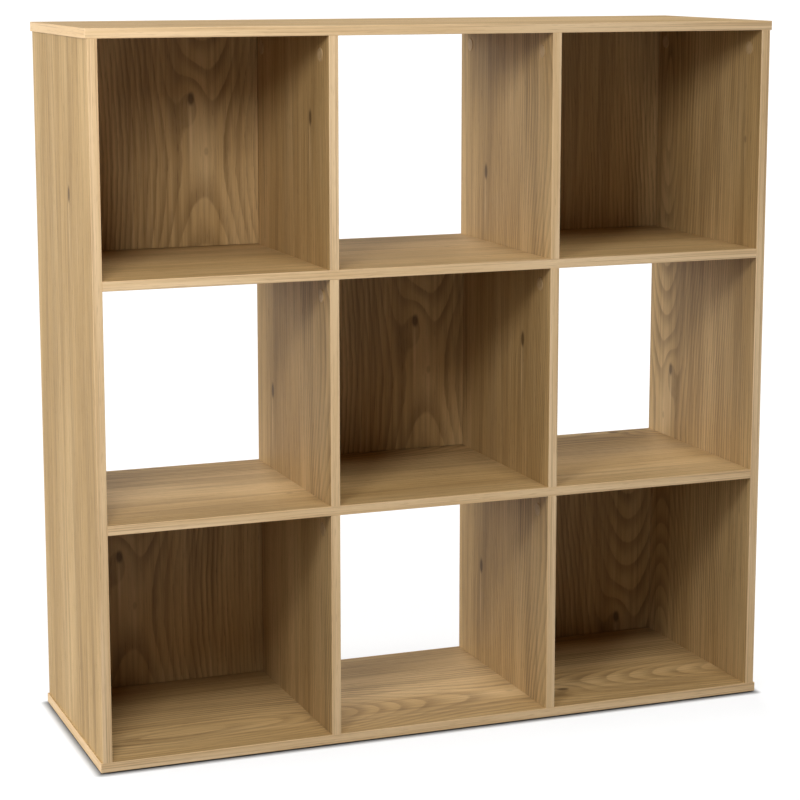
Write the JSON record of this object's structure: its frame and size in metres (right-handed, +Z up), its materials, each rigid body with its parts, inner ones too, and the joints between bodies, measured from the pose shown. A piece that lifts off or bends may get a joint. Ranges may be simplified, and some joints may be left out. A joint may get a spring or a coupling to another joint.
{
  "type": "cube storage unit",
  "caption": "Free-standing open shelving unit in light oak board, a square grid of cubes with some backed and some open through, joined by cam fittings, screws and dowels.",
  "frame": {"origin": "on the floor, under the centre of the unit's overall box", "axes": "+Z up, the open front faces -Y, +X to the right as seen from the front"},
  "size_m": [0.911, 0.3, 0.908],
  "materials": {
    "oak_board": "satin light oak effect laminate on particle board, grain along the board",
    "oak_edge_band": "satin light oak effect edge banding, grain along the edge",
    "cam_zinc": "dull die-cast zinc",
    "bolt_steel": "bright zinc plated",
    "cap_plastic": "light oak coloured moulded plastic",
    "screw_steel": "yellow zinc plated",
    "beech": "plain fluted beech",
    "glide_plastic": "dark brown moulded plastic"
  },
  "bodies": {
    "root": {"top_panel": "oak_board", "bottom_panel": "oak_board", "left_side_panel": "oak_board", "right_side_panel": "oak_board", "upper_shelf": "oak_board", "lower_shelf": "oak_board", "upper_left_divider": "oak_board", "upper_right_divider": "oak_board", "middle_left_divider": "oak_board", "middle_right_divider": "oak_board", "lower_left_divider": "oak_board", "lower_right_divider": "oak_board", "upper_left_back_panel": "oak_board", "upper_right_back_panel": "oak_board", "centre_back_panel": "oak_board", "lower_left_back_panel": "oak_board", "lower_right_back_panel": "oak_board", "top_and_base_edge_bands": "oak_edge_band", "panel_end_bands": "oak_edge_band", "side_edge_bands": "oak_edge_band", "shelf_edge_bands": "oak_edge_band", "divider_edge_bands": "oak_edge_band", "cam_locks": "cam_zinc", "cam_bolts": "bolt_steel", "cam_cover_caps": "cap_plastic", "wood_screws": "screw_steel", "short_dowels": "beech", "through_dowels": "beech", "floor_glides": "glide_plastic", "glide_nails": "bolt_steel"}
  },
  "joints": []
}
